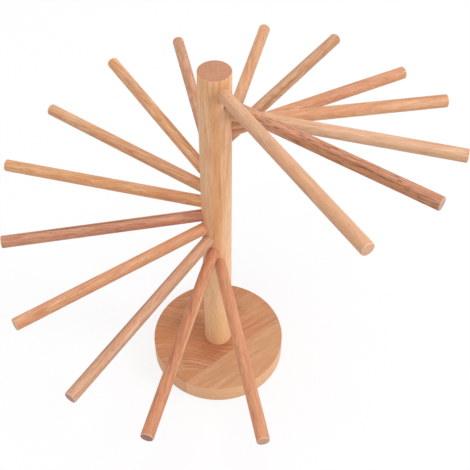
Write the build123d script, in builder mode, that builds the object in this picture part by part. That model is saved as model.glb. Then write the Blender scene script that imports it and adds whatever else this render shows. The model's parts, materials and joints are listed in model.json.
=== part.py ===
"""Pasta drying rack: a round base, an upright column and sixteen rods set round it in a spiral.

Millimetres, +Z up. The origin is the centre of the base's underside, on the column's centre line.
Headings are degrees from +X, counter-clockwise seen from above. Fresh pasta hangs over the rods,
each of which plugs into its own blind socket in the column and pulls out along its own line.
"""
import os
from math import cos, radians, sin, tan

from build123d import *

# Base: a disc cut from two boards that are glued edge to edge
base_diameter = 148.0
base_thickness = 24.0
base_top_chamfer = 0.8
base_foot_chamfer = 1.0
glue_line_offset = 27.75  # from the disc's centre to the glue line
glue_line_heading = -51.5  # the way from the centre to the glue line

# Column: a plain dowel with its foot let into the base
column_diameter = 30.0
column_top_chamfer = 0.5
column_foot_depth = 10.0
column_over_top_rod = 15.0  # column left above the top rod's centre line

# Spiral of rods, numbered from the top down
rod_diameter = 12.0
rod_reach = 218.0  # from the column's centre line to the tip
rod_tip_chamfer = 1.0
rod_seat_chamfer = 0.8
lowest_rod_height = 146.75  # centre line of the lowest rod above the base
socket_web = 2.35  # wood left between one socket and the next one down
socket_depth = 18.0
seat_gap = 0.3  # between a rod's inner end and the bottom of its socket
first_heading = -60.0

# How the hand-drilled rods stray from the even spiral, top rod first
drop_shares = (
    0.01, 0, -0.05, 0, -0.07, 0, 0.07, 0.04,
    0.13, 0.05, 0.08, 0, -0.11, -0.21, -0.11, 0,
)
swing_degrees = (
    -0.8, 0.8, -1, 0.8, -3.4, 1.2, 0.3, 3.1,
    0.4, 0.8, 0.2, 1.8, 3.6, 2.9, -0.7, 2.4,
)
lean_degrees = (
    0.8, -0.2, -0.3, -0.5, -0.8, -1.4, -0.5, -1.1,
    0.2, -0.3, 0.7, -0.1, -0.3, -1.7, -0.5, -0.5,
)
reach_shares = (
    0.996, 0.99, 1.004, 0.986, 0.946, 0.993, 1.002, 0.992,
    1.009, 0.992, 1.005, 0.957, 1.008, 1.043, 1.051, 1.013,
)

# Countersunk wood screw that draws the column down into the base
screw_head_diameter = 9.6
screw_head_rim = 0.4
screw_head_recess = 0.6  # how far the head lies above the table
screw_length = 50.0
shank_diameter = 5.0
root_diameter = 3.4
screw_tip_length = 5.0
drive_slot_length = 4.4
drive_slot_width = 1.1
drive_slot_depth = 2.0
screw_head_angle = 90.0
shank_clearance = 0.3  # round the shank, in the base

# Fits and cuts
fit_clearance = 0.05  # round a rod in its socket, and round the column's foot
overrun = 1.0  # how far a cut runs past the wood

# Worked out from the sizes above
base_radius = base_diameter / 2
column_radius = column_diameter / 2
rod_radius = rod_diameter / 2
rod_count = len(reach_shares)
rod_pitch = rod_diameter + socket_web
turn_per_rod = 360 / rod_count
lowest_rod_level = base_thickness + lowest_rod_height
top_rod_level = lowest_rod_level + (rod_count - 1) * rod_pitch
column_foot_level = base_thickness - column_foot_depth
column_top_level = top_rod_level + column_over_top_rod
socket_bottom = column_radius - socket_depth  # from the centre line, along the rod
screw_tip_level = screw_head_recess + screw_length
head_cone_level = screw_head_recess + screw_head_rim
head_taper = tan(radians(screw_head_angle / 2))
underside = Plane(origin=(0, 0, 0), x_dir=(1, 0, 0), z_dir=(0, 0, -1))


def rod_plane(number):
    """Plane across a rod: its origin is on the column's centre line, its Z runs out along the rod."""
    heading = radians(first_heading + number * turn_per_rod + swing_degrees[number])
    lean = radians(lean_degrees[number])
    level = top_rod_level - (number + drop_shares[number]) * rod_pitch
    outward = (cos(heading) * cos(lean), sin(heading) * cos(lean), sin(lean))
    return Plane(origin=(0, 0, level), x_dir=(-sin(heading), cos(heading), 0), z_dir=outward)


def base_board(keep):
    """One of the disc's two boards: the part on the kept side of the glue line."""
    glue_heading = radians(glue_line_heading)
    across = Vector(cos(glue_heading), sin(glue_heading), 0)
    glue_plane = Plane(origin=across * glue_line_offset, z_dir=across)
    with BuildPart() as board:
        with BuildSketch():
            Circle(base_radius)
        extrude(amount=base_thickness)
        chamfer(board.edges().group_by(Axis.Z)[-1], base_top_chamfer)
        chamfer(board.edges().group_by(Axis.Z)[0], base_foot_chamfer)
        # Socket for the column's foot
        with Locations((0, 0, base_thickness)):
            Hole(radius=column_radius + fit_clearance, depth=column_foot_depth)
        # Way for the screw, sunk so that its head stays clear of the table
        with Locations(underside):
            CounterSinkHole(
                radius=shank_diameter / 2 + shank_clearance,
                counter_sink_radius=screw_head_diameter / 2 + head_cone_level * head_taper,
                counter_sink_angle=screw_head_angle,
                depth=base_thickness,
            )
        split(bisect_by=glue_plane, keep=keep)
    return board


def drying_rod(number):
    """One rod, as long as its own reach asks, with eased ends."""
    across = rod_plane(number)
    inner_end = socket_bottom + seat_gap
    reach = rod_reach * reach_shares[number]
    with BuildPart() as rod:
        with BuildSketch(across.offset(inner_end)):
            Circle(rod_radius)
        extrude(amount=reach - inner_end)
        ends = rod.edges().filter_by(GeomType.CIRCLE).sort_by(Axis(across.origin, across.z_dir))
        chamfer(ends[-1], rod_tip_chamfer)
        chamfer(ends[0], rod_seat_chamfer)
    return rod


# Column with its spiral of blind sockets
with BuildPart() as column:
    with BuildSketch(Plane.XY.offset(column_foot_level)):
        Circle(column_radius)
    extrude(amount=column_top_level - column_foot_level)
    chamfer(column.edges().group_by(Axis.Z)[-1], column_top_chamfer)
    for rod_number in range(rod_count):
        with Locations(rod_plane(rod_number).offset(column_radius + overrun)):
            Hole(radius=rod_radius + fit_clearance, depth=socket_depth + overrun)
    # Pilot hole for the screw, up the column's centre
    with BuildSketch(Plane.XY.offset(column_foot_level)):
        Circle(root_diameter / 2 + fit_clearance)
    extrude(amount=screw_tip_level + overrun - column_foot_level, mode=Mode.SUBTRACT)

# Screw: head down, turned in one profile, with a cross recess
head_cone_height = (screw_head_diameter - shank_diameter) / 2 / head_taper
shoulder_height = (shank_diameter - root_diameter) / 2
with BuildPart() as base_screw:
    with BuildSketch(Plane.XZ):
        with BuildLine():
            Polyline(
                (0, screw_head_recess),
                (screw_head_diameter / 2, screw_head_recess),
                (screw_head_diameter / 2, head_cone_level),
                (shank_diameter / 2, head_cone_level + head_cone_height),
                (shank_diameter / 2, column_foot_level - shoulder_height),
                (root_diameter / 2, column_foot_level),
                (root_diameter / 2, screw_tip_level - screw_tip_length),
                (0, screw_tip_level),
                close=True,
            )
        make_face()
    revolve(axis=Axis.Z)
    with BuildSketch(Plane.XY.offset(screw_head_recess)):
        Rectangle(drive_slot_length, drive_slot_width)
        Rectangle(drive_slot_width, drive_slot_length)
    extrude(amount=drive_slot_depth, mode=Mode.SUBTRACT)

pieces = {
    "base_board_rear": base_board(Keep.BOTTOM),
    "base_board_front": base_board(Keep.TOP),
    "column": column,
    "base_screw": base_screw,
}
for rod_number in range(rod_count):
    pieces[f"rod_{rod_number + 1:02d}"] = drying_rod(rod_number)

os.makedirs("parts", exist_ok=True)
for name, piece in pieces.items():
    piece.part.label = name
    export_step(piece.part, f"parts/{name}.step")
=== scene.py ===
"""Pasta drying rack in oiled beech: a round base, a column and sixteen rods set round it in a spiral.

Metres, +Z up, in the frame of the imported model. Grain is given in millimetres. The rods are
numbered from the top down.
"""
import json
import logging
import math
from collections.abc import Callable
from dataclasses import dataclass
from enum import Enum
from functools import partial

import bpy
from bpy.types import Material, Node, NodeSocket, NodeTree, Object, World
from mathutils import Matrix, Vector


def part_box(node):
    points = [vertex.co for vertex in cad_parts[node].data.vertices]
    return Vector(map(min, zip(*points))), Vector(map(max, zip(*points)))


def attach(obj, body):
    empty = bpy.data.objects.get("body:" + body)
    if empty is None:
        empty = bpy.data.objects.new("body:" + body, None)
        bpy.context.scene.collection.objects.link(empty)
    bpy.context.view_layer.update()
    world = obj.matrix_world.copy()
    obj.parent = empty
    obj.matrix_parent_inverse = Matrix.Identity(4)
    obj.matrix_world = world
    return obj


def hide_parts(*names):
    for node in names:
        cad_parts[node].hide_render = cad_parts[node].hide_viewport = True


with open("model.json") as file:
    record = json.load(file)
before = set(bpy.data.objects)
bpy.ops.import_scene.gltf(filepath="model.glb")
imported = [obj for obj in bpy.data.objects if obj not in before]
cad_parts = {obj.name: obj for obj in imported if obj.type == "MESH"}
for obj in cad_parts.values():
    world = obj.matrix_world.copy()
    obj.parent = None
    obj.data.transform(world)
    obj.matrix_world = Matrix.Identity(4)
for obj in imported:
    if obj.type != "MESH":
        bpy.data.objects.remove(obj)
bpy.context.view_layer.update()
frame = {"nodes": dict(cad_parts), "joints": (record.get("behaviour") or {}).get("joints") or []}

LOG = logging.getLogger("drying_rack")
MM = 0.001
NEAR = 0.001 * MM  # places as close as this are the same
OVERRUN = 1.0 * MM  # how far a cutting body stands past what it cuts
TIP_SHORT = 0.05 * MM  # a rounded tip bulges past the CAD's chamfer, so it stops short by this
FACING = 0.9  # a face's normal has at least this share of a direction that the face looks in
MIX_FACTOR, MIX_A, MIX_B, MIX_COLOUR = 0, 6, 7, 2  # the colour sockets of a Mix node


class Slot(str, Enum):
    """The record's material slots."""

    RODS = "rod_beech"
    COLUMN = "column_beech"
    BASE = "base_beech"
    SCREW = "screw_steel"


def linear(hex_colour: str) -> tuple[float, float, float, float]:
    """Turn an sRGB hex colour to linear light.

    Args:
        hex_colour: six hex digits, such as "D8A47F".

    Returns:
        Red, green, blue and an alpha of 1.
    """
    channels = [int(hex_colour[i : i + 2], 16) / 255 for i in (0, 2, 4)]
    lit = [c / 12.92 if c <= 0.04045 else ((c + 0.055) / 1.055) ** 2.4 for c in channels]
    return (lit[0], lit[1], lit[2], 1.0)


def grey(level: float) -> tuple[float, float, float, float]:
    """A grey in linear light."""
    return (level, level, level, 1.0)


def cells(length: float, width: float, depth: float = 0.0) -> tuple[float, float, float]:
    """Turn the size of a pattern's cells, in millimetres along and across the grain, to its scale."""
    return (1 / length, 1 / width, 1 / (depth or width))


def clear_tree(owner: Material | World) -> NodeTree:
    """Switch on the nodes of a material or a world, with none laid yet.

    Args:
        owner: the new material or world.

    Returns:
        Its empty tree.
    """
    owner.use_nodes = True
    owner.node_tree.nodes.clear()
    return owner.node_tree


def add(tree: NodeTree, kind: str, inputs: dict | tuple = (), **settings: object) -> Node:
    """Add a node with its settings, and set or link its inputs.

    Args:
        tree: the node tree to add to.
        kind: the node's type, without its "ShaderNode".
        inputs: values, nodes or output sockets, in the order of the inputs or by their names or
            numbers. A node stands for its first output.
        settings: the node's own properties.

    Returns:
        The new node.
    """
    made = tree.nodes.new(f"ShaderNode{kind}")
    for name, value in settings.items():
        setattr(made, name, value)
    for socket, value in inputs.items() if isinstance(inputs, dict) else enumerate(inputs):
        if isinstance(value, Node):
            value = value.outputs[0]
        if isinstance(value, NodeSocket):
            tree.links.new(value, made.inputs[socket])
        else:
            made.inputs[socket].default_value = value
    return made


@dataclass(frozen=True)
class BeechTone:
    """The colours of one stick of beech.

    early is the pale wood that starts each ring and late the darker wood that ends it, warm the
    red heart that drifts through in patches, fleck the brown ray flecks, and end the sawn ends,
    which soak up oil and dull.
    """

    early: str
    late: str
    warm: str
    fleck: str
    end: str


class Tone(Enum):
    """The tones that the rack's pieces come in, the rods' from the sapwood to the red heart."""

    CREAM = BeechTone("EABD98", "CA9670", "DDA583", "A57555", "E0AE8E")
    HONEY = BeechTone("E8B48A", "C78B62", "DC986C", "9C6845", "C79A7C")
    AMBER = BeechTone("E7B087", "C48860", "D6936C", "945F3E", "C3967A")
    UMBER = BeechTone("D2A27A", "AA7650", "C88F67", "83583C", "B98C70")
    BLUSH = BeechTone("DCAA86", "B87F5C", "CF8B67", "96644B", "BE9888")
    TAUPE = BeechTone("E0B292", "B88767", "D89B78", "8C6049", "A98B80")
    PEACH = BeechTone("E1A47E", "C08059", "D98F69", "9A6346", "CC9E84")
    CORAL = BeechTone("D89871", "B4724E", "CE8660", "8A543B", "8E6E6A")
    GOLD = BeechTone("F5C496", "CE9364", "DE935C", "9E6840", "B99072")
    ROSE = BeechTone("DA9C7C", "A86E52", "C67C5C", "7C4C3A", "B4988A")
    RUSSET = BeechTone("E0A482", "A3684A", "C2764E", "6C3C28", "C0A294")
    COLUMN = BeechTone("FED0A4", "DEA476", "E6A068", "B07E56", "B2755C")
    REAR_BOARD = BeechTone("E0A67C", "AC6A40", "C9804F", "8E5634", "E8AF82")
    FRONT_BOARD = BeechTone("E0AE84", "C18A60", "D09468", "A2704C", "F9C292")


@dataclass(frozen=True)
class Wave:
    """A place where the grain swings sideways, as round a knot deeper in the board."""

    at: float  # where it swings, along the grain
    width: float
    swing: float  # how far it swings, across the grain


@dataclass(frozen=True)
class Patch:
    """A ragged patch that stands out from the wood round it: mostly heartwood or sapwood, though some
    are painted shade, shadow or highlight.
    """

    colour: str
    share: float
    place: tuple[float, float, float]  # its middle, in the stick's own place
    reach: tuple[float, float]  # how far it reaches, along and across the grain


@dataclass(frozen=True)
class BeechFinish:
    """Beech, sanded and lightly oiled: satin, with soft growth rings, fine fibres and ray flecks.

    Oil deepens the late wood and the sawn ends, and sanding leaves no gloss. The pattern is solid:
    it runs through the piece as through a log, so that long faces show streaks and arches and sawn
    ends show rings. Sizes are millimetres along and across the grain. rings, streaks, fibres,
    flecks, dashes and warmth say how much of each pattern shows.
    """

    tone: Tone
    pith: tuple[float, float]  # how far off the log's heart lies
    pith_lean: tuple[float, float] = (0.02, 0.03)  # how the heart runs out of line, in radians
    run_out: float = 0.0  # how the grain runs off the stick's line, in radians
    sway: float = 3.0  # how far the grain wanders sideways
    wave: Wave | None = None
    ring_size: float = 2.6
    ring_wander: float = 1.8  # how unevenly the rings are spaced, in rings
    late_wood: float = 0.5  # where in a ring its dark line starts
    rings: float = 0.45
    streak_size: tuple[float, float] = (90, 3.2)
    streaks: float = 0.35
    fibre_size: tuple[float, float] = (26, 0.7)  # coarser than real fibres, so that they show
    fibres: float = 0.8
    fleck_size: tuple[float, float] = (14, 0.8)  # coarser than real flecks, so that they show
    flecks: float = 0.35
    dash_size: tuple[float, float] = (3.2, 0.42)  # as real: they show only from close by
    dashes: float = 0.35
    warm_size: tuple[float, float] = (32, 2.8)
    warmth: float = 0.5
    patches: tuple[Patch, ...] = ()
    paling: float = 0.0  # how much paler the stick is at its lower end than at its upper
    rim_tone_and_light: float = 0.0  # how far faces that stand upright pale: partly the turned rim's own paler wood, partly painted light on the rim
    end_share: float = 0.75  # how far a sawn end takes its own tone
    arris_highlight: str = "F6DCC6"  # a painted highlight: the eased arris round a sawn end is painted pale, where its rounded edge catches the light
    arris_highlight_share: float = 0.5

    def material(self, name: str, centre: Vector, along: Vector) -> Material:
        """Build the material of one piece.

        Args:
            name: the material's name.
            centre: where the piece's own place starts.
            along: the way its grain runs.

        Returns:
            A new material with the whole pattern in its nodes.
        """
        made = bpy.data.materials.new(name)
        BeechPattern(self, clear_tree(made), centre, along).lay_surface()
        return made


class BeechPattern:
    """The nodes that draw one piece of beech, from its own place to its surface."""

    # Sizes of cells, in millimetres along and across the grain, and for rays out from the heart
    BEND = (70, 22)
    RING_SPACING = (160, 10)
    FLECK_DRIFT = (55, 8)
    PATCH_RAGGED = (30, 2)
    END_RAYS = (40, 1.1, 8)
    FLECK_DEPTH, DASH_DEPTH = 7.0, 2.5
    # Noise clusters round 0.5. Each pattern goes from none to all of it in this range of noise
    LINE_EDGE = (0.4, 0.6)
    FLECK_EDGE = (0.54, 0.66)
    DASH_EDGE = (0.58, 0.7)
    DRIFT_EDGE = (0.38, 0.62)
    WARM_EDGE = (0.42, 0.62)
    # From nothing to all of a patch, by how far off its middle a place is, with noise added
    PATCH_EDGE, PATCH_NOISE = (1.6, 0.9), 1.2
    # From nothing to all, by how level a face lies, or by its facing along the grain, squared
    RIM_FACING, ARRIS_FACING, END_FACING = (0.7, 0.2), (0.3, 0.8), (0.7, 0.97)
    END_RINGS = 0.5  # how much of a sawn end's light and dark comes from its rings
    END_LIGHT = (0.3, 1.2, 1.1, 0.84)  # the brightness of its early wood and of its late wood
    MEAN_TONE = 0.55  # from early wood, 0, to late wood, 1
    LOWER_END, UPPER_END = -200.0, 150.0  # where the column's paling starts and ends
    OIL_IOR, OIL_SHEEN = 1.47, 0.45  # thin oil gives a low, soft sheen
    ROUGHNESS = (0.44, 0.6)  # between the fibres and on them
    PORE_DEPTH, PORE_SHARE = 0.1 * MM, 0.4
    FLECK_SINK = -0.8  # how far a fleck lies below the fibres, as a share of the pores' depth

    def __init__(self, finish: BeechFinish, tree: NodeTree, centre: Vector, along: Vector) -> None:
        """Lay the places and the patterns that the colours are mixed by.

        Args:
            finish: the look of the wood.
            tree: the material's empty tree.
            centre: where the piece's own place starts.
            along: the way its grain runs.
        """
        self.finish = finish
        self.add = partial(add, tree)
        self.along = along
        self.wood = self.wood_place(centre)
        self.bent = self.bent_place()
        self.late, self.log_place = self.growth_rings()
        self.streaks = self.lines(finish.streak_size)
        self.fibres = self.lines(finish.fibre_size)
        self.flecks = self.ray_flecks()

    def grained(self, place: Node, size: tuple[float, ...], detail: float = 2.0) -> Node:
        """Lay a cloudy pattern with its cells drawn out along the grain.

        Args:
            place: the place it is drawn by.
            size: the size of its cells.
            detail: how much finer cloud lies in the coarse one.

        Returns:
            The pattern, from 0 to 1 and mostly near 0.5.
        """
        scaled = self.add("VectorMath", (place, cells(*size)), operation="MULTIPLY")
        return self.add("TexNoise", {"Vector": scaled, "Scale": 1.0, "Detail": detail})

    def wood_place(self, centre: Vector) -> Node:
        """Turn object coordinates to the piece's own place.

        Args:
            centre: where that place starts.

        Returns:
            The place in millimetres, with X along the grain.
        """
        place = self.add("TexCoord").outputs["Object"]
        turn = Vector((1, 0, 0)).rotation_difference(self.along).to_euler()
        own = {"Vector": place, "Location": centre, "Rotation": turn, "Scale": (MM, MM, MM)}
        return self.add("Mapping", own, vector_type="TEXTURE")

    def bent_place(self) -> Node:
        """Push the wood's place about across the grain, so that no line runs dead straight.

        Returns:
            The place that the grain is drawn by.
        """
        sway, wave = self.finish.sway, self.finish.wave
        tilt = {"Vector": self.wood, "Rotation": (0, 0, self.finish.run_out)}
        tilted = self.add("Mapping", tilt, vector_type="POINT")
        centred = (self.grained(tilted, self.BEND).outputs["Color"], (0.5, 0.5, 0.5))
        push = (self.add("VectorMath", centred, operation="SUBTRACT"), (0, sway, sway), tilted)
        bent = self.add("VectorMath", push, operation="MULTIPLY_ADD")
        if not wave:
            return bent
        along = self.add("SeparateXYZ", (tilted,))
        from_wave = self.add("Math", (along, wave.at), operation="SUBTRACT")
        share = self.add("Math", (from_wave, wave.width), operation="DIVIDE")
        swung = self.add("Math", (share,), operation="TANH")
        side = self.add("Math", (swung, wave.swing), operation="MULTIPLY")
        return self.add("VectorMath", (bent, self.add("CombineXYZ", {"Y": side})), operation="ADD")

    def growth_rings(self) -> tuple[Node, Node]:
        """Growth rings round the log's heart.

        Returns:
            How late the wood is in its ring, from 0 to 1, and the place as (along, round, out).
        """
        pith, lean = self.finish.pith, self.finish.pith_lean
        off = {"Vector": self.bent, "Location": (0, *pith), "Rotation": (0, *lean)}
        heart = self.add("Mapping", off, vector_type="TEXTURE")
        along, right, up = self.add("SeparateXYZ", (heart,)).outputs
        across = self.add("CombineXYZ", {"Y": right, "Z": up})
        out = self.add("VectorMath", (across,), operation="LENGTH").outputs["Value"]
        angle = self.add("Math", (up, right), operation="ARCTAN2")
        girth = self.add("Math", (angle, math.hypot(*pith)), operation="MULTIPLY")
        log_place = self.add("CombineXYZ", (along, girth, out))

        wander = self.grained(self.bent, self.RING_SPACING)
        even = self.add("Math", (out, self.finish.ring_size), operation="DIVIDE")
        uneven = (wander, self.finish.ring_wander, even)
        count = self.add("Math", uneven, operation="MULTIPLY_ADD")
        late = self.add("ValToRGB", (self.add("Math", (count,), operation="FRACT"),))
        ramp = late.color_ramp.elements
        ramp[0].color = ramp[1].color = grey(0.5)
        # Pale from the start of a ring, darkening from where its late wood starts to its end
        line = self.finish.late_wood
        for place, level in ((0.08, 0.1), (line, 0.2), (line * 0.35 + 0.62, 0.75), (0.95, 1.0)):
            ramp.new(place).color = grey(level)
        return late, log_place

    def lines(self, size: tuple[float, float]) -> Node:
        """Streaks or fibres of one size along the grain, from 0 to 1."""
        return self.add("MapRange", (self.grained(self.bent, size), *self.LINE_EDGE))

    def ray_flecks(self) -> Node:
        """Ray flecks, thin sheets that run out from the heart: dashes on a flat-sawn face.

        Returns:
            How much of the flecks' brown shows: coarse flecks in drifts, fine dashes all over.
        """
        finish = self.finish
        sheets = self.grained(self.log_place, (*finish.fleck_size, self.FLECK_DEPTH))
        dashes = self.grained(self.log_place, (*finish.dash_size, self.DASH_DEPTH))
        noise = self.grained(self.bent, self.FLECK_DRIFT, detail=1.0)
        drift = self.add("MapRange", (noise, *self.DRIFT_EDGE, finish.flecks / 4, finish.flecks))
        edged = self.add("MapRange", (sheets, *self.FLECK_EDGE))
        coarse = self.add("Math", (edged, drift), operation="MULTIPLY")
        fine = self.add("MapRange", (dashes, *self.DASH_EDGE, 0, finish.dashes))
        return self.add("Math", (fine, coarse), operation="MAXIMUM")

    def late_share(self) -> Node:
        """Add up rings, streaks and fibres.

        Returns:
            How far the wood is from its early tone to its late one.
        """
        finish = self.finish
        shares = (finish.rings, finish.streaks, finish.fibres)
        late: Node | float = self.MEAN_TONE - sum(shares) / 2
        for pattern, share in zip((self.late, self.streaks, self.fibres), shares):
            late = self.add("Math", (pattern, share, late), operation="MULTIPLY_ADD")
        return late

    def warm_share(self) -> Node:
        """How much of the red heart shows, in drifts."""
        noise = self.grained(self.bent, self.finish.warm_size, detail=3.0)
        return self.add("MapRange", (noise, *self.WARM_EDGE, 0, self.finish.warmth))

    def rim_tone_and_light(self) -> Node:
        """Find the faces that stand upright, which the lathe turned.

        Returns:
            How much of the rim's paleness shows: partly its own paler wood, partly painted light.
        """
        up = self.add("SeparateXYZ", (self.add("TexCoord").outputs["Normal"],)).outputs["Z"]
        flat = self.add("Math", (up,), operation="ABSOLUTE")
        return self.add("MapRange", (flat, *self.RIM_FACING, 0, self.finish.rim_tone_and_light))

    def patch_share(self, patch: Patch) -> Node:
        """Lay out one patch, which fades raggedly towards its edge.

        Args:
            patch: the patch.

        Returns:
            How much of it shows.
        """
        off = self.add("VectorMath", (self.wood, patch.place), operation="SUBTRACT")
        shares = self.add("VectorMath", (off, cells(*patch.reach)), operation="MULTIPLY")
        away = self.add("VectorMath", (shares,), operation="LENGTH").outputs["Value"]
        noise = self.grained(self.wood, self.PATCH_RAGGED, detail=3.0)
        ragged = self.add("Math", (noise, self.PATCH_NOISE, away), operation="MULTIPLY_ADD")
        edge = (ragged, *self.PATCH_EDGE, 0, patch.share)
        return self.add("MapRange", edge, interpolation_type="SMOOTHSTEP")

    def long_colour(self) -> NodeSocket:
        """Lay rings, streaks, warm drifts, patches and flecks over each other.

        Returns:
            The colour of the wood's long faces.
        """
        finish, tone = self.finish, self.finish.tone.value
        layers = [(self.late_share(), tone.late), (self.warm_share(), tone.warm)]
        # Upright faces take the end tone: partly the turned rim's paler wood, partly painted light on
        # the rim
        if finish.rim_tone_and_light:
            layers.append((self.rim_tone_and_light(), tone.end))
        if finish.paling:
            along = self.add("SeparateXYZ", (self.bent,))
            ends = (along, self.LOWER_END, self.UPPER_END, finish.paling, 0)
            layers.append((self.add("MapRange", ends), tone.early))
        layers += [(self.patch_share(patch), patch.colour) for patch in finish.patches]
        layers.append((self.flecks, tone.fleck))
        colour: tuple | NodeSocket = linear(tone.early)
        for share, over in layers:
            layer = {MIX_FACTOR: share, MIX_A: colour, MIX_B: linear(over)}
            colour = self.add("Mix", layer, data_type="RGBA").outputs[MIX_COLOUR]
        return colour

    def end_colour(self, colour: NodeSocket) -> NodeSocket:
        """Turn the colour to the sawn end's where the face lies across the grain.

        Args:
            colour: the colour of the long faces.

        Returns:
            The colour of every face.
        """
        finish = self.finish
        ways = (self.add("TexCoord").outputs["Normal"], self.along)
        facing = self.add("VectorMath", ways, operation="DOT_PRODUCT").outputs["Value"]
        square = self.add("Math", (facing, facing), operation="MULTIPLY")
        if finish.arris_highlight_share:
            # Painted highlight: the arris, the narrow strip that faces neither out nor along the
            # grain, is painted pale where the rounded edge catches the light
            arris_highlight = self.add("ValToRGB", (square,))
            ramp = arris_highlight.color_ramp.elements
            ramp[0].color = ramp[1].color = grey(0)
            for place in self.ARRIS_FACING:
                ramp.new(place).color = grey(finish.arris_highlight_share)
            layer = {MIX_FACTOR: arris_highlight, MIX_A: colour, MIX_B: linear(finish.arris_highlight)}
            colour = self.add("Mix", layer, data_type="RGBA").outputs[MIX_COLOUR]
        share = self.add("MapRange", (square, *self.END_FACING, 0, finish.end_share))
        rays = self.grained(self.log_place, self.END_RAYS)
        dark = self.add("Math", (self.late, self.END_RINGS, rays), operation="MULTIPLY_ADD")
        ringed = self.add("MapRange", (dark, *self.END_LIGHT))
        tone = linear(finish.tone.value.end)[:3]
        end = self.add("VectorMath", {0: tone, "Scale": ringed}, operation="SCALE")
        layer = {MIX_FACTOR: share, MIX_A: colour, MIX_B: end}
        return self.add("Mix", layer, data_type="RGBA").outputs[MIX_COLOUR]

    def lay_surface(self) -> None:
        """Lay the surface: coloured, rougher on the fibres, and sunk a little at the flecks."""
        rough = self.add("MapRange", (self.fibres, 0, 1, *self.ROUGHNESS))
        sunk = (self.flecks, self.FLECK_SINK, self.fibres)
        relief = self.add("Math", sunk, operation="MULTIPLY_ADD")
        pores = {"Strength": self.PORE_SHARE, "Distance": self.PORE_DEPTH, "Height": relief}
        look = {
            "Base Color": self.end_colour(self.long_colour()),
            "Roughness": rough,
            "Normal": self.add("Bump", pores),
            "IOR": self.OIL_IOR,
            "Specular IOR Level": self.OIL_SHEEN,
        }
        self.add("OutputMaterial", {"Surface": self.add("BsdfPrincipled", look)})


@dataclass(frozen=True)
class ZincFinish:
    """Bright zinc plate on a cold-formed steel screw: a soft metal grey with a slight bloom."""

    colour: str = "B9BAB6"
    bloom: str = "8F938F"
    bloom_size: float = 2.2 * MM
    roughness: tuple[float, float] = (0.28, 0.5)

    def material(self) -> Material:
        """Build the material.

        Returns:
            A new metal material.
        """
        made = bpy.data.materials.new("zinc_plated_steel")
        tree = clear_tree(made)
        place = add(tree, "TexCoord").outputs["Object"]
        size = {"Vector": place, "Scale": 1 / self.bloom_size, "Detail": 3.0}
        cloud = add(tree, "TexNoise", size)
        layer = {MIX_FACTOR: cloud, MIX_A: linear(self.colour), MIX_B: linear(self.bloom)}
        look = {
            "Base Color": add(tree, "Mix", layer, data_type="RGBA").outputs[MIX_COLOUR],
            "Roughness": add(tree, "MapRange", (cloud, 0, 1, *self.roughness)),
            "Metallic": 1.0,
        }
        add(tree, "OutputMaterial", {"Surface": add(tree, "BsdfPrincipled", look)})
        return made


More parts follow.
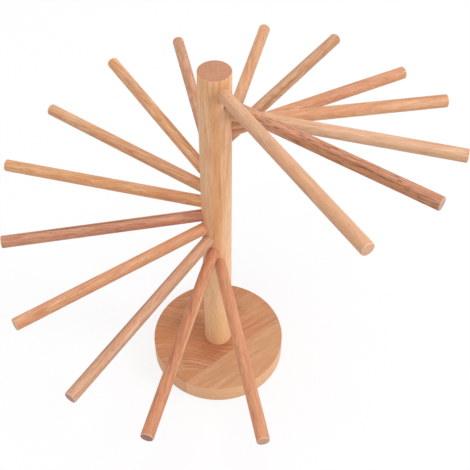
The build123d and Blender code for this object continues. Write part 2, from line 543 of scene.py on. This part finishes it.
# The rods' woods, top rod first. In a rod's own place X runs out along it and Z is up
ROD_WOODS = (
    BeechFinish(
        Tone.CREAM, (52, 18), rings=0.25, streaks=0.25, fibres=0.45, flecks=0.2, warmth=0.8,
        run_out=0.05,
        patches=(
            Patch("E09C68", 0.5, (128, -3.2, 5.1), (50, 3)),
            Patch("E0A274", 0.35, (190, -3.2, 5.1), (50, 6)),
        ),
    ),
    BeechFinish(
        Tone.RUSSET, (14, -38), rings=0.2, flecks=0.75, fleck_size=(10, 0.8), run_out=-0.04,
        patches=(
            Patch("C68A5C", 0.6, (140, -5.4, 1.8), (100, 5)),
            Patch("D09880", 0.4, (120, 3.4, 4.8), (90, 4)),
            Patch("74402A", 0.45, (150, -4.4, 4.1), (80, 1.4)),
            Patch("E2AC8A", 0.6, (48, 0, 0), (50, 12)),
        ),
    ),
    BeechFinish(
        Tone.CREAM, (-44, 31), rings=0.25, streaks=0.4, fibres=0.7, flecks=0.2, warmth=0.3,
        run_out=-0.06,
        patches=(
            Patch("F2D2B4", 0.3, (120, 0, 0), (80, 12)),
            Patch("F4D0AE", 0.3, (186, -5, 3.4), (56, 4.5)),
            Patch("CC9068", 0.35, (196, 1, 5.9), (50, 3)),
            Patch("DA8E64", 0.3, (110, -2, 5.6), (70, 1.6)),
            Patch("DE9A70", 0.35, (180, -4.5, 4), (50, 1.4)),
        ),
    ),
    BeechFinish(
        Tone.HONEY, (61, -20), rings=0.3, fibres=0.5, flecks=0.2, run_out=-0.1,
        patches=(
            Patch("E0977A", 0.35, (120, -4.5, 4), (30, 3)),
            Patch("C88458", 0.35, (100, 0, 2), (34, 9)),
            Patch("B87850", 0.55, (194, 1, 5.9), (44, 3.4)),
            Patch("F2CCAA", 0.2, (184, -5, 3.4), (46, 4.5)),
        ),
    ),
    BeechFinish(
        Tone.AMBER, (-22, -48), rings=0.3, flecks=0.3, warmth=0.9, run_out=0.14,
        patches=(
            Patch("B87858", 0.35, (130, 0, 0), (110, 12)),
            Patch("C27A4E", 0.5, (108, -4.8, 3.6), (10, 3)),
            Patch("B4704A", 0.55, (146, 2.4, 5.5), (24, 3.5)),
            Patch("C27A4E", 0.5, (184, -4.3, 4.2), (9, 3)),
        ),
    ),
    BeechFinish(
        Tone.UMBER, (35, 43), fibres=0.6, flecks=0.4, run_out=-0.06,
        patches=(
            Patch("DEB294", 0.35, (120, -0.8, 6), (110, 4)),
            Patch("9E6236", 0.55, (100, -4.6, 3.9), (80, 1.5)),
        ),
    ),
    BeechFinish(
        Tone.HONEY, (70, 9), rings=0.25, fibres=0.6, flecks=0.2, warmth=0.3, run_out=-0.1
    ),
    BeechFinish(Tone.BLUSH, (-58, -14), streaks=0.45, run_out=0.15),
    BeechFinish(
        Tone.GOLD, (19, 47), rings=0.35, fibres=0.5, flecks=0.8, warmth=0.8, run_out=-0.05,
        patches=(
            Patch("A4683E", 0.5, (88, -2.6, 5.4), (44, 4)),
            Patch("C88662", 0.4, (172, 2, 5.5), (45, 2.5)),
            Patch("DCAA8A", 0.35, (170, 0, 0), (60, 12)),
        ),
    ),
    BeechFinish(
        Tone.HONEY, (-33, 52), flecks=0.4, warmth=0.6, run_out=-0.04,
        patches=(Patch("F0C49C", 0.4, (190, 0, 0), (56, 12)),),
    ),
    BeechFinish(
        Tone.GOLD, (26, -30), fibres=0.5, flecks=0.25, warmth=0.6, run_out=-0.14,
        patches=(
            Patch("F0A878", 0.4, (130, 0, 0), (110, 12)),
            Patch("CC7850", 0.45, (40, 4.1, 4.4), (36, 7)),
            Patch("D08A52", 0.45, (100, 3, 5), (16, 3)),
            Patch("CE8248", 0.45, (140, 4.1, 4.4), (14, 2.5)),
            Patch("BC7440", 0.45, (120, 0.8, 5.9), (60, 1.2)),
        ),
    ),
    BeechFinish(
        Tone.ROSE, (-66, 25), rings=0.2, streaks=0.2, fibres=0.55, flecks=0.3, run_out=0.12,
        patches=(
            Patch("E2A284", 0.5, (46, 4.1, 4.4), (22, 2.5)),
            Patch("E4AC8E", 0.25, (180, 0, 0), (80, 12)),
            Patch("5E3A2C", 0.65, (125, -0.9, 5.9), (110, 1.3)),
        ),
    ),
    BeechFinish(
        Tone.AMBER, (48, -41), flecks=0.3, warmth=0.8, run_out=-0.06,
        patches=(
            Patch("C88458", 0.3, (50, 0, 0), (60, 12)),
            Patch("BA7450", 0.6, (196, 3.7, 4.7), (10, 4)),
        ),
    ),
    BeechFinish(
        Tone.TAUPE, (-17, -57), rings=0.25, streaks=0.2, fibres=0.75, flecks=0.6,
        fleck_size=(7, 0.6),
        patches=(
            Patch("D2936C", 0.35, (110, 1, 5.9), (130, 5)),
            # Painted shade: these two grey-brown stripes darken the rod along both edges of its
            # outline as seen from the camera
            Patch("8A6450", 0.55, (120, -4, 4.5), (130, 2.6)),
            Patch("9C7058", 0.4, (120, 5.9, 0.6), (130, 2.6)),
        ),
    ),
    BeechFinish(
        Tone.CORAL, (55, 33), flecks=0.4, run_out=-0.1,
        patches=(
            Patch("A8623E", 0.35, (115, 0, 0), (50, 12)),
            # Painted highlight: a pale stripe along the side of the rod that faces the side softbox
            Patch("EFC29C", 0.6, (100, 5.4, 2.6), (80, 1.8)),
        ),
    ),
    BeechFinish(
        Tone.PEACH, (-49, -29), rings=0.35, fibres=0.6, flecks=0.3, warmth=0.6, run_out=0.05
    ),
)

COLUMN_WOOD = BeechFinish(
    Tone.COLUMN, (70, 6), pith_lean=(0, 0.043), sway=3.5, ring_size=3.2, rings=0.5,
    streak_size=(120, 2), streaks=0.3, fibre_size=(60, 0.8), fibres=0.4, warm_size=(60, 4),
    paling=0.7, arris_highlight_share=0.0,
    patches=(
        Patch("E09250", 0.45, (70, -14.5, -1), (150, 6.5)),
        Patch("F8D6B2", 0.3, (0, -9, -12), (120, 6)),
        Patch("E4C2A2", 0.4, (120, -9, 12), (90, 6)),
        Patch("E4A46C", 0.35, (-20, -9, 12), (80, 6)),
        # Partly warmer wood, partly painted contact shade round the root of rod 1, near the column's
        # top
        Patch("C4844F", 0.4, (188, -13, -3), (16, 11)),
        Patch("FFCC92", 0.6, (-150, -14, -2), (70, 14)),
        Patch("C08048", 0.5, (76, -14.4, -3.4), (16, 1.6)),
    ),
)

REAR_WOOD = BeechFinish(
    Tone.REAR_BOARD, (95, -60), pith_lean=(-0.05, 0), sway=2.5,
    wave=Wave(at=-28, width=30, swing=48), ring_size=6.4, ring_wander=0.8, late_wood=0.75,
    rings=0.36, streak_size=(90, 4), streaks=0.3, fibre_size=(26, 0.9), fibres=0.2,
    fleck_size=(7, 0.9), flecks=0.3, warm_size=(60, 18), warmth=0.6, rim_tone_and_light=0.75,
    end_share=0.5, arris_highlight_share=0.0,
    patches=(
        # Painted shade, partly darker heartwood: the next three patches darken the board round the
        # column's foot, in front of it and to its left, where the column shades it
        Patch("A04E1E", 0.43, (-15, -11, 0), (30, 21)),
        Patch("B4642E", 0.3, (-22, 8, 0), (22, 20)),
        Patch("A0542E", 0.35, (-14, 36, 0), (22, 24)),
        # Painted shadow: the next two patches lay the shadow that rod 15 casts across the board
        Patch("96563A", 0.25, (-28, 43, 0), (14, 7)),
        Patch("96563A", 0.3, (-8, 57, 0), (18, 7)),
        Patch("D8A67C", 0.35, (60, 6, 0), (20, 36)),
        Patch("CC8250", 0.55, (-42, 30, 0), (34, 34)),
        Patch("DDAF88", 0.4, (-64, -8, 0), (10, 12)),
    ),
)

FRONT_WOOD = BeechFinish(
    Tone.FRONT_BOARD, (-105, -45), pith_lean=(-0.1, -0.2), ring_size=5.2, ring_wander=1.4,
    late_wood=0.7, rings=0.25, streak_size=(90, 7), fibre_size=(22, 0.9), fibres=0.3,
    fleck_size=(7, 0.9), flecks=0.3, warm_size=(60, 18), rim_tone_and_light=0.75, end_share=0.5,
    arris_highlight_share=0.0,
    patches=(Patch("C8936A", 0.35, (38, -46, 0), (36, 22)),),
)


def take(piece: Object | None = None) -> None:
    """Go to object mode, with one object selected and active, or none.

    Args:
        piece: the object.
    """
    if bpy.context.mode != "OBJECT":
        bpy.ops.object.mode_set(mode="OBJECT")
    bpy.ops.object.select_all(action="DESELECT")
    if piece:
        piece.select_set(True)
        bpy.context.view_layer.objects.active = piece


def take_whole(piece: Object) -> None:
    """Enter edit mode with the whole of a piece selected.

    Args:
        piece: the piece.
    """
    take(piece)
    bpy.ops.object.mode_set(mode="EDIT")
    bpy.ops.mesh.select_all(action="SELECT")


def apply_place() -> None:
    """Bring the active object's place, turn and scale into its mesh."""
    bpy.ops.object.transform_apply(location=True, rotation=True, scale=True)


def pick(piece: Object, kind: str, test: Callable[[Vector, Vector], bool]) -> None:
    """Select a piece's faces or edges by place, and enter edit mode.

    Args:
        piece: the mesh object.
        kind: "FACE" or "EDGE".
        test: given a face's centre and normal, or an edge's two ends, says whether it is selected.
    """
    take(piece)
    mesh = piece.data
    bpy.ops.object.mode_set(mode="EDIT")
    bpy.ops.mesh.select_mode(type=kind)
    bpy.ops.mesh.select_all(action="DESELECT")
    bpy.ops.object.mode_set(mode="OBJECT")
    if kind == "FACE":
        for face in mesh.polygons:
            face.select = test(face.center, face.normal)
    else:
        for edge in mesh.edges:
            edge.select = test(*(mesh.vertices[i].co for i in edge.vertices))
    bpy.ops.object.mode_set(mode="EDIT")


def turned_bar(name: str, radius: float, low: float, high: float, sides: int) -> Object:
    """Add a round bar along +Z.

    Args:
        name: the object's name.
        radius: its radius.
        low: the height of its lower end.
        high: the height of its upper end.
        sides: how many sides stand for the round.

    Returns:
        The new object.
    """
    take()
    bpy.ops.mesh.primitive_cylinder_add(
        vertices=sides,
        radius=radius,
        depth=high - low,
        end_fill_type="NGON",
        location=(0, 0, (low + high) / 2),
    )
    bar = bpy.context.object
    bar.name = bar.data.name = name
    apply_place()
    return bar


def ease_end(bar: Object, level: float, width: float, steps: int) -> None:
    """Round or chamfer the arris of a bar's end.

    Args:
        bar: the bar, still standing along Z.
        level: the height of the end.
        width: how wide the eased edge is.
        steps: 1 for a chamfer, more for a round.
    """
    pick(bar, "EDGE", lambda a, b: abs(a.z - level) < NEAR and abs(b.z - level) < NEAR)
    bpy.ops.mesh.bevel(offset=width, segments=steps, profile=0.5, affect="EDGES")
    bpy.ops.object.mode_set(mode="OBJECT")


def cut(piece: Object, cutter: Object) -> None:
    """Cut a piece with another body, and delete the cutter.

    Args:
        piece: the piece to cut.
        cutter: the body that cuts.
    """
    take(piece)
    tool = piece.modifiers.new("cut", "BOOLEAN")
    tool.operation = "DIFFERENCE"
    tool.solver = "EXACT"
    tool.object = cutter
    bpy.ops.object.modifier_apply(modifier=tool.name)
    bpy.data.objects.remove(cutter, do_unlink=True)


def lay_along(piece: Object, origin: Vector, direction: Vector) -> None:
    """Turn a piece that stands along +Z at the origin to lie along a line, and apply it.

    Args:
        piece: the piece.
        origin: where its origin goes.
        direction: the way its Z goes.
    """
    take(piece)
    piece.rotation_euler = direction.to_track_quat("Z", "Y").to_euler()
    piece.location = origin
    apply_place()


def smooth(piece: Object, angle: float = 35.0) -> None:
    """Shade a piece smooth, with arrises sharper than an angle in degrees kept."""
    take(piece)
    bpy.ops.object.shade_smooth_by_angle(angle=math.radians(angle))


def hand_over(piece: Object, body: str, node: str) -> None:
    """Give a finished piece to the frame.

    Args:
        piece: the finished piece, its object at the origin.
        body: the body it rides on.
        node: the node it stands for.
    """
    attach(piece, body)
    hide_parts(node)
    LOG.info("%s: %d faces, on %s", piece.name, len(piece.data.polygons), body)


@dataclass(frozen=True)
class RodLine:
    """Where one rod lies, read from the frame."""

    number: int
    node: str  # the rod's node, and its body
    origin: Vector  # where its line crosses the column's centre line
    outward: Vector
    inner: float  # its inner end, along the line from the column's centre line
    tip: float

    @classmethod
    def read(cls, number: int) -> "RodLine":
        """Read a rod's line from its joint and its node.

        Args:
            number: the rod's number, from 1 at the top.

        Returns:
            The rod's line.
        """
        node = f"rod_{number:02d}"
        joint = next(j for j in frame["joints"] if j["child"] == node)
        outward = Vector(joint["axis"]).normalized()
        low, high = (Vector(corner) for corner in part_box(node))
        middle = (low + high) / 2
        reach = math.hypot(middle.x, middle.y) / math.hypot(outward.x, outward.y)
        level = middle.z - outward.z * reach
        places = [v.co.dot(outward) - level * outward.z for v in frame["nodes"][node].data.vertices]
        inner, tip = min(places), max(places) - TIP_SHORT
        return cls(number, node, Vector((0, 0, level)), outward, inner, tip)


@dataclass
class DryingRods:
    """The sixteen rods: 12 mm dowels with rounded tips, sawn to length and pushed into the column."""

    radius: float = 6.0 * MM
    tip_round: float = 1.0 * MM
    seat_chamfer: float = 0.8 * MM
    sides: int = 72

    def build(self) -> list[RodLine]:
        """Model one rod and copy it to each rod's line.

        Returns:
            The rods' lines, top rod first.
        """
        lines = [RodLine.read(number) for number in range(1, len(ROD_WOODS) + 1)]
        pattern = self.pattern_rod(lines[0])
        for line, wood in zip(lines, ROD_WOODS):
            self.place(pattern, lines[0], line, wood)
        bpy.data.objects.remove(pattern, do_unlink=True)
        return lines

    def pattern_rod(self, line: RodLine) -> Object:
        """Model the rod that the others are copied from, standing along +Z.

        Args:
            line: the line whose length it has.

        Returns:
            The pattern rod.
        """
        rod = turned_bar("pattern_rod", self.radius, line.inner, line.tip, self.sides)
        ease_end(rod, line.tip, self.tip_round, steps=4)
        ease_end(rod, line.inner, self.seat_chamfer, steps=1)
        smooth(rod)
        return rod

    def place(
        self, pattern: Object, pattern_line: RodLine, line: RodLine, wood: BeechFinish
    ) -> None:
        """Copy the pattern rod to a line, cut to that rod's length, and dress it.

        Args:
            pattern: the pattern rod.
            pattern_line: the line it was made for.
            line: the copy's line.
            wood: the copy's finish.
        """
        rod = pattern.copy()
        rod.data = pattern.data.copy()
        rod.name = rod.data.name = f"drying_rod_{line.number:02d}"
        bpy.context.collection.objects.link(rod)
        middle = (pattern_line.inner + pattern_line.tip) / 2
        pick(rod, "EDGE", lambda a, b: min(a.z, b.z) > middle)
        bpy.ops.transform.translate(value=(0, 0, line.tip - pattern_line.tip))
        lay_along(rod, line.origin, line.outward)
        material = wood.material(f"turned_beech_{line.node}", line.origin, line.outward)
        rod.data.materials.append(material)
        hand_over(rod, line.node, line.node)


@dataclass
class Column:
    """The column: a 30 mm dowel with a blind socket for each rod."""

    radius: float = 15.0 * MM
    top_round: float = 0.5 * MM
    socket_radius: float = 6.05 * MM
    socket_depth: float = 18.0 * MM
    pilot_radius: float = 2.55 * MM  # as wide as the screw's thread, which has cut its way
    pilot_top: float = 51.6 * MM
    grain_start: float = 200.0 * MM  # the height from which its own place is measured
    sides: int = 160
    socket_sides: int = 72

    def build(self, lines: list[RodLine]) -> None:
        """Model, dress and hand over the column.

        Args:
            lines: the rods' lines.
        """
        low, high = (corner[2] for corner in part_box("column"))
        column = turned_bar("beech_column", self.radius, low, high, self.sides)
        ease_end(column, high, self.top_round, steps=3)
        for line in lines:
            inner, outer = self.radius - self.socket_depth, self.radius + OVERRUN
            socket = turned_bar("cutter", self.socket_radius, inner, outer, self.socket_sides)
            lay_along(socket, line.origin, line.outward)
            cut(column, socket)
        foot = low - OVERRUN
        cut(column, turned_bar("cutter", self.pilot_radius, foot, self.pilot_top, self.socket_sides))
        smooth(column)
        start, up = Vector((0, 0, self.grain_start)), Vector((0, 0, 1))
        column.data.materials.append(COLUMN_WOOD.material("turned_beech_column", start, up))
        hand_over(column, "stand", "column")


class Side(Enum):
    """The two sides of the base's glue line."""

    REAR = "rear"
    FRONT = "front"


@dataclass
class Base:
    """The base: a turned disc of two boards glued edge to edge, let out for the column and screw."""

    radius: float = 74.0 * MM
    thickness: float = 24.0 * MM
    top_round: float = 0.8 * MM
    foot_chamfer: float = 1.0 * MM
    glue_offset: float = 27.75 * MM
    glue_heading: float = -51.5  # degrees, from the centre to the glue line
    socket_radius: float = 15.05 * MM
    socket_depth: float = 10.0 * MM
    way_radius: float = 2.8 * MM
    sink_radius: float = 5.8 * MM
    sides: int = 240
    socket_sides: int = 160
    way_sides: int = 64

    def build(self) -> None:
        """Model both boards."""
        self.board(Side.REAR, REAR_WOOD)
        self.board(Side.FRONT, FRONT_WOOD)

    @property
    def across(self) -> Vector:
        """The way from the base's centre to its glue line."""
        heading = math.radians(self.glue_heading)
        return Vector((math.cos(heading), math.sin(heading), 0))

    def board(self, side: Side, wood: BeechFinish) -> None:
        """Model, dress and hand over one board, its grain along the glue line.

        Args:
            side: the side of the glue line that the board lies on.
            wood: its finish.
        """
        node = f"base_board_{side.value}"
        board = turned_bar(f"beech_{node}", self.radius, 0, self.thickness, self.sides)
        ease_end(board, self.thickness, self.top_round, steps=3)
        ease_end(board, 0, self.foot_chamfer, steps=2)
        self.cut_socket(board)
        self.split(board, side)
        smooth(board)
        top, along = Vector((0, 0, self.thickness)), Vector((-self.across.y, self.across.x, 0))
        board.data.materials.append(wood.material(f"planed_beech_{side.value}", top, along))
        hand_over(board, "stand", node)

    def cut_socket(self, board: Object) -> None:
        """Cut the column's socket and the screw's sunk way.

        Args:
            board: the whole disc.
        """
        floor, top = self.thickness - self.socket_depth, self.thickness + OVERRUN
        cut(board, turned_bar("cutter", self.socket_radius, floor, top, self.socket_sides))
        cut(board, turned_bar("cutter", self.way_radius, -OVERRUN, self.thickness, self.way_sides))
        take()
        depth = self.sink_radius + OVERRUN
        bpy.ops.mesh.primitive_cone_add(
            vertices=self.way_sides,
            radius1=depth,
            radius2=0,
            depth=depth,
            location=(0, 0, depth / 2 - OVERRUN),
        )
        cut(board, bpy.context.object)

    def split(self, board: Object, side: Side) -> None:
        """Saw the disc along the glue line and keep one side.

        Args:
            board: the whole disc.
            side: the side to keep.
        """
        take_whole(board)
        bpy.ops.mesh.bisect(
            plane_co=self.across * self.glue_offset,
            plane_no=self.across,
            use_fill=True,
            clear_inner=side is Side.FRONT,
            clear_outer=side is Side.REAR,
        )
        bpy.ops.object.mode_set(mode="OBJECT")


@dataclass
class BaseScrew:
    """The countersunk wood screw that holds the column down: a turned blank with a rolled thread."""

    head_radius: float = 4.8 * MM
    head_level: float = 0.6 * MM  # the head lies this far above the table
    head_rim: float = 0.4 * MM
    head_round: float = 0.15 * MM
    head_cone: float = 2.3 * MM
    shank_radius: float = 2.5 * MM
    shank_top: float = 13.2 * MM
    root_radius: float = 1.7 * MM
    root_level: float = 14.0 * MM
    point_level: float = 45.6 * MM
    tip_level: float = 50.6 * MM
    tip_radius: float = 0.102 * MM
    wing: tuple[float, float, float] = (4.4 * MM, 1.1 * MM, 2.0 * MM)  # one slot of the recess
    wing_taper: tuple[float, float] = (0.4, 0.7)  # what is left of its length and width inside
    wing_overrun: float = 0.5 * MM
    thread_start: float = 15.5 * MM
    thread_ridge: float = 0.8 * MM / 1.5  # from the middle of the ridge to its corners
    thread_sink: float = 0.4  # how far out of the root the ridge's middle lies, as a share of that
    thread_flat: float = 0.7  # how far the ridge is flattened along the screw
    thread_pitch: float = 2.2 * MM
    thread_turns: int = 13
    thread_steps: int = 32
    sides: int = 96

    def build(self) -> None:
        """Model, dress and hand over the screw."""
        screw = self.blank()
        self.cut_recess(screw)
        thread = self.thread()
        take(screw)
        thread.select_set(True)
        bpy.ops.object.join()
        smooth(screw, angle=30.0)
        screw.data.materials.append(ZincFinish().material())
        hand_over(screw, "stand", "base_screw")

    def blank(self) -> Object:
        """Draw the head's rim out into the cone, the shank, the root and the point.

        Returns:
            The blank, head down.
        """
        level, radius = self.head_level + self.head_rim, self.head_radius
        screw = turned_bar("base_screw_zinc", radius, self.head_level, level, self.sides)
        ease_end(screw, self.head_level, self.head_round, steps=2)
        for next_level, next_radius in (
            (level + self.head_cone, self.shank_radius),
            (self.shank_top, self.shank_radius),
            (self.root_level, self.root_radius),
            (self.point_level, self.root_radius),
            (self.tip_level, self.tip_radius),
        ):
            top = level - NEAR
            pick(screw, "FACE", lambda centre, normal: centre.z > top and normal.z > FACING)
            bpy.ops.mesh.extrude_region_move(
                TRANSFORM_OT_translate={"value": (0, 0, next_level - level)}
            )
            share = next_radius / radius
            bpy.ops.transform.resize(value=(share, share, 1), center_override=(0, 0, next_level))
            bpy.ops.object.mode_set(mode="OBJECT")
            level, radius = next_level, next_radius
        return screw

    def cut_recess(self, screw: Object) -> None:
        """Press the cross recess into the head, its wings narrowing inwards.

        Args:
            screw: the blank.
        """
        length, width, depth = self.wing
        for turn in (0.0, math.pi / 2):
            take()
            bpy.ops.mesh.primitive_cube_add(
                size=1, location=(0, 0, self.head_level + depth / 2), scale=(length, width, depth)
            )
            wing = bpy.context.object
            apply_place()
            pick(wing, "FACE", lambda centre, normal: normal.z > FACING)
            inner = (0, 0, self.head_level + depth)
            bpy.ops.transform.resize(value=(*self.wing_taper, 1), center_override=inner)
            pick(wing, "FACE", lambda centre, normal: normal.z < -FACING)
            bpy.ops.mesh.extrude_region_move(
                TRANSFORM_OT_translate={"value": (0, 0, -self.wing_overrun)}
            )
            bpy.ops.object.mode_set(mode="OBJECT")
            wing.rotation_euler.z = turn
            apply_place()
            cut(screw, wing)

    def thread(self) -> Object:
        """Wind the thread's ridge up the root.

        Returns:
            The ridge, a closed three-sided coil.
        """
        take()
        middle = (self.root_radius + self.thread_sink * self.thread_ridge, 0, self.thread_start)
        bpy.ops.mesh.primitive_circle_add(
            vertices=3,
            radius=self.thread_ridge,
            fill_type="NOTHING",
            location=middle,
            rotation=(math.pi / 2, 0, 0),
        )
        ridge = bpy.context.object
        ridge.name = "thread"
        apply_place()
        take_whole(ridge)
        bpy.ops.transform.rotate(value=-math.pi / 2, orient_axis="Y", center_override=middle)
        bpy.ops.transform.resize(value=(1, 1, self.thread_flat), center_override=middle)
        bpy.ops.object.mode_set(mode="OBJECT")
        winding = ridge.modifiers.new("winding", "SCREW")
        winding.axis = "Z"
        winding.screw_offset = self.thread_pitch
        winding.iterations = self.thread_turns
        winding.steps = winding.render_steps = self.thread_steps
        bpy.ops.object.modifier_apply(modifier=winding.name)
        take_whole(ridge)
        bpy.ops.mesh.fill_holes(sides=3)
        bpy.ops.mesh.normals_make_consistent(inside=False)
        bpy.ops.object.mode_set(mode="OBJECT")
        return ridge


@dataclass(frozen=True)
class Lamp:
    """One soft lamp, aimed at the rack's middle."""

    name: str
    heading: float  # degrees, counter-clockwise from +X
    height: float  # degrees above the level
    power: float
    away: float = 4.0
    size: float = 1.3


@dataclass
class Studio:
    """A pale floor in a soft white tent, with a softbox at the side, one above and one behind."""

    lamps: tuple[Lamp, ...] = (
        Lamp("side_softbox", heading=-17.0, height=30.0, power=52.0),
        Lamp("top_softbox", heading=-85.0, height=76.0, power=38.0),
        Lamp("back_softbox", heading=140.0, height=60.0, power=12.0),
    )
    aim: tuple[float, float, float] = (0.0, 0.0, 0.2)
    tent_wall: float = 0.54  # how bright the tent is at the level
    tent_top: float = 0.7
    floor_size: float = 8.0
    floor_colour: str = "E4E2DE"
    floor_glow: float = 0.77  # what the eye sees of the floor where no light falls on it
    floor_take: float = 0.22  # how much of the light, and so of the shadow, the eye sees on it

    def build(self) -> None:
        """Set the sky, the floor and the lamps."""
        self.set_sky()
        self.lay_floor()
        for lamp in self.lamps:
            self.hang(lamp)

    def seen_directly(self, tree: NodeTree) -> Node:
        """Tell what the camera sees, directly or in a reflection, from what lights the rack.

        Args:
            tree: the tree of the material or world.

        Returns:
            1 for what is seen and 0 for what lights.
        """
        rays = add(tree, "LightPath").outputs
        sent_on = (rays["Is Glossy Ray"], rays["Is Transmission Ray"])
        either = (rays["Is Camera Ray"], add(tree, "Math", sent_on, operation="MAXIMUM"))
        return add(tree, "Math", either, operation="MAXIMUM")

    def set_sky(self) -> None:
        """Light the rack as a white tent does, brightest at its top, and show white behind it."""
        world = bpy.data.worlds.new("studio")
        bpy.context.scene.world = world
        tree = clear_tree(world)
        up = add(tree, "SeparateXYZ", (add(tree, "TexCoord").outputs["Generated"],)).outputs["Z"]
        tent = add(tree, "MapRange", (up, 0, 1, self.tent_wall, self.tent_top))
        strength = add(tree, "MapRange", (self.seen_directly(tree), 0, 1, tent, 1))
        white = add(tree, "Background", {"Color": grey(1), "Strength": strength})
        add(tree, "OutputWorld", {"Surface": white})

    def lay_floor(self) -> None:
        """Lay a matt floor, pale for the light and near white, with the rack's shadow, to the eye."""
        take()
        bpy.ops.mesh.primitive_plane_add(size=self.floor_size, location=(0, 0, 0))
        floor = bpy.context.object
        floor.name = "studio_floor"
        # Matt paint has no gloss, so the eye gets only its pale colour and the soft shadow on it
        paint = bpy.data.materials.new("matt_floor_paint")
        tree = clear_tree(paint)
        matt = add(tree, "BsdfDiffuse", {"Color": linear(self.floor_colour)})
        dim = add(tree, "BsdfDiffuse", {"Color": grey(self.floor_take)})
        glow = add(tree, "Emission", {"Strength": self.floor_glow})
        shown = add(tree, "AddShader", (dim, glow))
        mixed = add(tree, "MixShader", (self.seen_directly(tree), matt, shown))
        add(tree, "OutputMaterial", {"Surface": mixed})
        floor.data.materials.append(paint)

    def hang(self, lamp: Lamp) -> None:
        """Hang one lamp and aim it.

        Args:
            lamp: the lamp.
        """
        heading, height = math.radians(lamp.heading), math.radians(lamp.height)
        level = Vector((math.cos(heading), math.sin(heading), 0))
        away = level * math.cos(height) + Vector((0, 0, math.sin(height)))
        light = bpy.data.lights.new(lamp.name, "AREA")
        light.shape = "DISK"
        light.size = lamp.size
        light.energy = lamp.power
        holder = bpy.data.objects.new(lamp.name, light)
        holder.location = Vector(self.aim) + away * lamp.away
        holder.rotation_euler = away.to_track_quat("Z", "Y").to_euler()
        bpy.context.collection.objects.link(holder)


@dataclass(frozen=True)
class Viewpoint:
    """The photograph's camera, worked out from the outlines of the base, column and rods."""

    place: tuple[float, float, float] = (0.0, -0.57949, 0.8406)
    pan: float = 1.682  # degrees to the right of +Y
    tilt: float = 47.962  # degrees below the level
    roll: float = 0.427
    focal_px: float = 855.2
    crop_px: tuple[float, float] = (1.42, -1.28)  # how far the photo was cropped off its centre
    photo_px: int = 470
    sensor_mm: float = 36.0
    nearest: float = 0.01  # the camera sees nothing nearer than this

    def build(self) -> None:
        """Add the camera and make it the scene's."""
        lens = bpy.data.cameras.new("photographer")
        lens.sensor_width = self.sensor_mm
        lens.lens = self.focal_px / self.photo_px * self.sensor_mm
        lens.shift_x, lens.shift_y = (offset / self.photo_px for offset in self.crop_px)
        lens.clip_start = self.nearest
        camera = bpy.data.objects.new("photographer", lens)
        bpy.context.collection.objects.link(camera)
        pan = Matrix.Rotation(-math.radians(self.pan), 4, "Z")
        tilt = Matrix.Rotation(math.radians(90 - self.tilt), 4, "X")
        roll = Matrix.Rotation(math.radians(self.roll), 4, "Z")
        camera.matrix_world = Matrix.Translation(self.place) @ pan @ tilt @ roll
        bpy.context.scene.camera = camera


def main() -> None:
    """Build the rack, the studio and the camera."""
    logging.basicConfig(level=logging.INFO, format="%(name)s: %(message)s")
    bpy.context.scene.view_settings.view_transform = "Standard"
    lines = DryingRods().build()
    Column().build(lines)
    Base().build()
    BaseScrew().build()
    Studio().build()
    Viewpoint().build()


if __name__ == "__main__":
    main()
